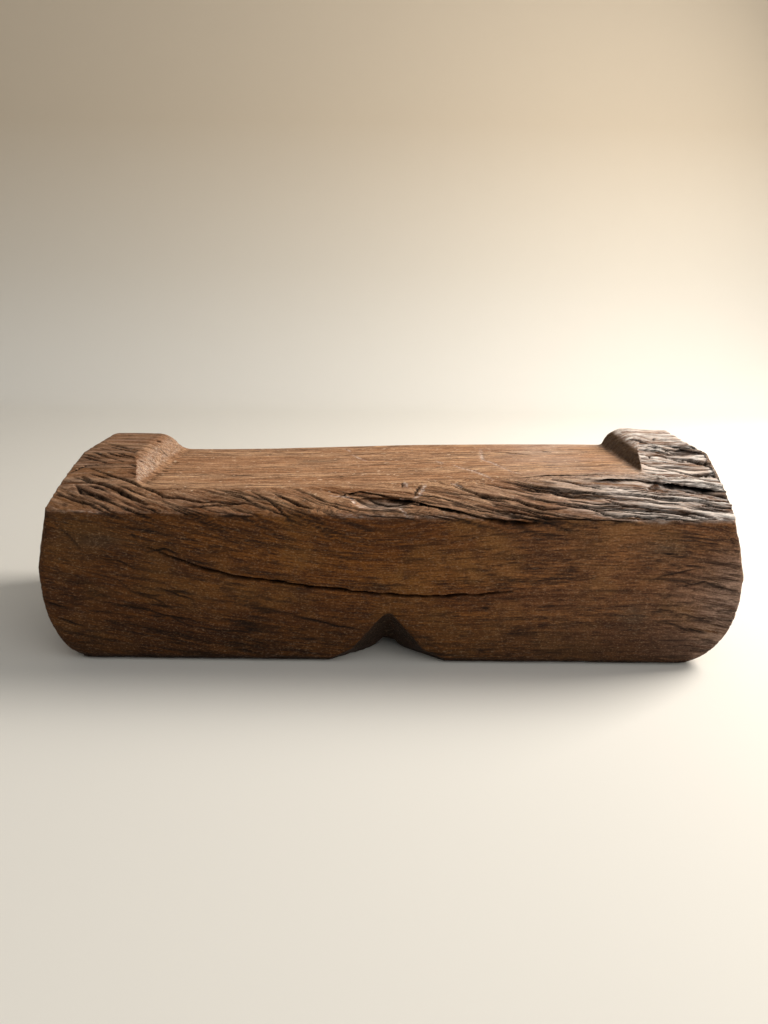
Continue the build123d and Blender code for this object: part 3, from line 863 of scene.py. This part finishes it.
def stool_wood():
    """The one piece of the stool: its wood with the splits, ridges, chips and wear of the real surface."""
    solid = wood_without_slits()
    tree = BVHTree.FromBMesh(solid)
    bm = remeshed(solid)
    settle(bm, tree)
    skin = Skin(*points_of(bm))
    marked = near_lines(skin, CHECKS + SCRATCHES, 4) & (skin.front | skin.top)
    refine(bm, skin.front | (skin.wane > 0.02) | (skin.inner > 0.02) | marked)
    settle(bm, tree)
    skin = Skin(*points_of(bm))
    close = near_lines(skin, CHECKS + SCRATCHES, 0.8) & (skin.front | skin.top)
    refine(bm, (skin.wane > 0.3) & (skin.y < 30) | close)
    settle(bm, tree)
    places, normals = points_of(bm)
    skin = Skin(places, normals)
    grain = grain_places(skin)
    shift, masks = relief(skin, normals, grain)
    for vert, move in zip(bm.verts, shift * MM):
        vert.co += Vector(move)
    mesh = bpy.data.meshes.new("stool_wood")
    bm.to_mesh(mesh)
    bm.free()
    solid.free()
    for polygon in mesh.polygons:
        polygon.use_smooth = True
    finish_masks(mesh, skin, grain, masks)
    piece = bpy.data.objects.new("stool_wood", mesh)
    bpy.context.scene.collection.objects.link(piece)
    return piece


def painted_and_noises(tree):
    """What the wood's coats read, by name: the masks painted on the mesh, and the noises."""
    found = {"grain": add_node(tree, "ShaderNodeAttribute", attribute_name="grain").outputs["Vector"],
             "place": add_node(tree, "ShaderNodeTexCoord").outputs["Object"]}
    for layer, names in PAINTED.items():
        colour = add_node(tree, "ShaderNodeAttribute", attribute_name=layer).outputs["Color"]
        found.update(zip(names, add_node(tree, "ShaderNodeSeparateColor", {0: colour}).outputs))
    for name, (source, length, width, detail, rough, wave) in STREAKS.items():
        scale = (1 / (length * MM), 1 / (width * MM), 1 / (width * MM))
        mapped = add_node(tree, "ShaderNodeMapping", {"Vector": found[source], "Scale": scale})
        found[name] = add_node(tree, "ShaderNodeTexNoise", {
            "Vector": mapped.outputs[0], "Scale": 1.0, "Detail": detail, "Roughness": rough,
            "Distortion": wave}).outputs["Fac"]
    return found


def strength(tree, found, *ranges):
    """A product of values, each stretched from one range to another and held there."""
    product = None
    for name, low_in, high_in, low_out, high_out in ranges:
        part = add_node(tree, "ShaderNodeMapRange", {
            0: found[name], 1: low_in, 2: high_in, 3: low_out, 4: high_out}).outputs[0]
        if product is not None:
            part = add_node(tree, "ShaderNodeMath", {0: product, 1: part}, operation="MULTIPLY").outputs[0]
        product = part
    return product


def figure_and_crest_highlight(tree, found):
    """The figure of the wood, with a painted highlight that lifts its tone on the crests of the ridges and
    painted shade that lowers it in their grooves, in part real wear.
    """
    found["figure"] = add_node(tree, "ShaderNodeMix", {
        0: 0.4, 2: found["fibre"], 3: found["streak"]}).outputs[0]
    lift = strength(tree, found, ("crest_highlight", 0, 1, -0.06, 0.06))
    for name, source in (("figure_with_crest_highlight", "figure"), ("fibre_with_crest_highlight", "long_fibre")):
        found[name] = add_node(tree, "ShaderNodeMath", {
            0: found[source], 1: lift}, operation="ADD").outputs[0]


def end_grain(tree, found):
    """The tone of the year rings round the heart, and how far each place is from a fine radial split."""
    centred = add_node(tree, "ShaderNodeMapping", {
        "Vector": found["place"], "Location": (0, -HEART[1], -HEART[2]), "Scale": (0, 1, 1)}).outputs[0]
    out = add_node(tree, "ShaderNodeVectorMath", {0: centred}, operation="LENGTH").outputs["Value"]
    way = add_node(tree, "ShaderNodeVectorMath", {0: centred}, operation="NORMALIZE").outputs[0]
    turn = add_node(tree, "ShaderNodeVectorMath", {
        0: out, 1: (SPLIT_TURN, 0, 0)}, operation="MULTIPLY").outputs[0]
    ray = add_node(tree, "ShaderNodeVectorMath", {
        0: way, 1: (0, SPLITS_ROUND, SPLITS_ROUND), 2: turn}, operation="MULTIPLY_ADD").outputs[0]
    rays = add_node(tree, "ShaderNodeTexNoise", {"Vector": ray, "Scale": 1.0, "Detail": 1}).outputs["Fac"]
    past = add_node(tree, "ShaderNodeMath", {0: rays, 1: 0.5}, operation="SUBTRACT").outputs[0]
    found["off_split"] = add_node(tree, "ShaderNodeMath", {0: past}, operation="ABSOLUTE").outputs[0]
    stray = add_node(tree, "ShaderNodeMath", {
        0: found["blotch"], 1: RING_STRAY}, operation="MULTIPLY").outputs[0]
    turns = add_node(tree, "ShaderNodeMath", {
        0: out, 1: 2 * math.pi / RING_WIDTH, 2: stray}, operation="MULTIPLY_ADD").outputs[0]
    found["swing"] = add_node(tree, "ShaderNodeMath", {0: turns}, operation="SINE").outputs[0]
    rings = strength(tree, found, ("swing", -1, 1, 0, 1))
    found["ring_tone"] = add_node(tree, "ShaderNodeMix", {0: 0.5, 2: rings, 3: found["fleck"]}).outputs[0]


def lay_coats(tree, found):
    """Makes each colour from its base and the coats over it."""
    for name, (base, *coats) in COLOURS.items():
        colour = found[base] if base in found else linear(base)
        for tint, *ranges in coats:
            tint = found[tint] if tint in found else linear(tint)
            colour = add_node(tree, "ShaderNodeMix", {
                0: strength(tree, found, *ranges), 6: colour, 7: tint}, data_type="RGBA").outputs[2]
        found[name] = colour


def weathered_hardwood():
    """Old dense hardwood, hewn and handled: dark red-brown and nearly matt on the face, golden and rubbed
    on the seat, bleached grey and open-grained where the round of the log is exposed, and with year rings
    and fine splits on the cut ends. Painted shade darkens its checks, creases, notch, underside, foot and
    the left of the face, and painted highlights lie on the crests of the ridges, along the arris and on
    the right of the seat."""
    material = bpy.data.materials.new("weathered_hardwood")
    material.use_nodes = True
    tree = material.node_tree
    tree.nodes.clear()
    found = painted_and_noises(tree)
    figure_and_crest_highlight(tree, found)
    end_grain(tree, found)
    lay_coats(tree, found)
    matt = strength(tree, found, ("weather_and_painted_light", 0, 0.8, 0.6, 0.9))
    uneven = strength(tree, found, ("fibre", 0.3, 0.7, -0.06, 0.08))
    roughness = add_node(tree, "ShaderNodeMath", {0: matt, 1: uneven}, operation="ADD").outputs[0]
    open_grain = strength(tree, found, ("weather_and_painted_light", 0, 0.6, 0.5, 1))
    pits = add_node(tree, "ShaderNodeMath", {0: found["pores"], 1: 0.4}, operation="MULTIPLY").outputs[0]
    height = add_node(tree, "ShaderNodeMath", {
        0: found["fibre"], 1: open_grain, 2: pits}, operation="MULTIPLY_ADD").outputs[0]
    bump = add_node(tree, "ShaderNodeBump", {"Strength": 0.8, "Distance": 0.9 * MM, "Height": height})
    shader = add_node(tree, "ShaderNodeBsdfPrincipled", {
        "Base Color": found["wood"], "Roughness": roughness, "Normal": bump.outputs[0], "IOR": 1.5,
        "Specular IOR Level": 0.15})
    add_node(tree, "ShaderNodeOutputMaterial", {"Surface": shader.outputs[0]})
    return material


def pale_card():
    """Plain matt card that gives the eye nothing to look at: near white, and a little warmer higher up."""
    low, high = 0.02, 0.7
    material = bpy.data.materials.new("pale_card")
    material.use_nodes = True
    tree = material.node_tree
    shader = tree.nodes["Principled BSDF"]
    place = add_node(tree, "ShaderNodeTexCoord").outputs["Object"]
    height = add_node(tree, "ShaderNodeSeparateXYZ", {0: place}).outputs["Z"]
    up = add_node(tree, "ShaderNodeMapRange", {0: height, 1: low, 2: high}).outputs[0]
    card = add_node(tree, "ShaderNodeMix", {0: up, 6: linear("e4e3de"), 7: linear("c4b8a6")},
                    data_type="RGBA")
    tree.links.new(card.outputs[2], shader.inputs["Base Color"])
    shader.inputs["Roughness"].default_value = 0.9
    return material


def studio_sweep():
    """A floor that curves up into a backdrop behind the stool."""
    size, reach, depth, height, bend = 4.0, 2.5, 1.5, 2.6, 0.35
    bm = bmesh.new()
    near = [bm.verts.new((side * size, -reach, 0)) for side in (-1, 1)]
    edge = bm.edges.new(near)
    far = bmesh.ops.extrude_edge_only(bm, edges=[edge])["geom"]
    fold = [g for g in far if isinstance(g, bmesh.types.BMVert)]
    bmesh.ops.translate(bm, vec=(0, reach + depth, 0), verts=fold)
    crease = [g for g in far if isinstance(g, bmesh.types.BMEdge) and all(v in fold for v in g.verts)]
    wall = bmesh.ops.extrude_edge_only(bm, edges=crease)["geom"]
    upper = [g for g in wall if isinstance(g, bmesh.types.BMVert)]
    bmesh.ops.translate(bm, vec=(0, 0, height), verts=upper)
    bmesh.ops.bevel(bm, geom=crease, offset=bend, segments=16, profile=0.5, affect="EDGES", material=-1)
    bmesh.ops.recalc_face_normals(bm, faces=bm.faces)
    if sum(f.normal.z for f in bm.faces) < 0:
        bmesh.ops.reverse_faces(bm, faces=bm.faces)
    mesh = bpy.data.meshes.new("studio_sweep")
    bm.to_mesh(mesh)
    bm.free()
    for polygon in mesh.polygons:
        polygon.use_smooth = True
    sweep = bpy.data.objects.new("studio_sweep", mesh)
    bpy.context.scene.collection.objects.link(sweep)
    mesh.materials.append(pale_card())


def soft_lamp(name, place, aim, size, watts, colour):
    """A square studio lamp that points at a place."""
    lamp = bpy.data.lights.new(name, "AREA")
    lamp.shape = "SQUARE"
    lamp.size = size
    lamp.energy = watts
    lamp.color = linear(colour)[:3]
    holder = bpy.data.objects.new(name, lamp)
    holder.location = place
    holder.rotation_euler = (Vector(aim) - Vector(place)).to_track_quat("-Z", "Y").to_euler()
    bpy.context.scene.collection.objects.link(holder)


def lights():
    """A soft window high on the right, a fainter lamp in front of it, and a room that is dimmest to the
    left, away from the window."""
    soft_lamp("window", *WINDOW)
    soft_lamp("room", *ROOM)
    world = bpy.data.worlds.new("room_light")
    world.use_nodes = True
    tree = world.node_tree
    background = tree.nodes["Background"]
    background.inputs["Color"].default_value = linear("f6f4f0")
    way = add_node(tree, "ShaderNodeTexCoord").outputs["Generated"]
    aim = add_node(tree, "ShaderNodeVectorMath", {0: way, 1: BRIGHT_WAY}, operation="DOT_PRODUCT")
    level = add_node(tree, "ShaderNodeMapRange", {
        0: aim.outputs["Value"], 1: -0.5, 2: 1.0, 3: DIM_SIDE, 4: BRIGHT_SIDE})
    tree.links.new(level.outputs[0], background.inputs["Strength"])
    bpy.context.scene.world = world


def camera():
    """The photograph's camera: a phone held low in front of the stool and tipped down."""
    forward = Vector((0, math.cos(CAMERA_PITCH), -math.sin(CAMERA_PITCH)))
    level = Vector((1, 0, 0))
    down = forward.cross(level)
    right = level * math.cos(CAMERA_ROLL) - down * math.sin(CAMERA_ROLL)
    up = right.cross(forward)
    lens = bpy.data.cameras.new("photo_camera")
    lens.sensor_fit = "VERTICAL"
    lens.sensor_height = SENSOR_HEIGHT
    lens.lens = SENSOR_HEIGHT * CAMERA_FOCUS_PIXELS / PHOTO_HEIGHT_PIXELS
    lens.clip_start = 0.01
    holder = bpy.data.objects.new("photo_camera", lens)
    turn = Matrix((right, up, -forward)).transposed().to_4x4()
    holder.matrix_world = Matrix.Translation(CAMERA_PLACE) @ turn
    bpy.context.scene.collection.objects.link(holder)
    bpy.context.scene.camera = holder


camera()
lights()
studio_sweep()
wood = stool_wood()
wood.data.materials.append(weathered_hardwood())
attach(wood, "root")
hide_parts(NODE)

bpy.context.scene.view_settings.view_transform = "Standard"
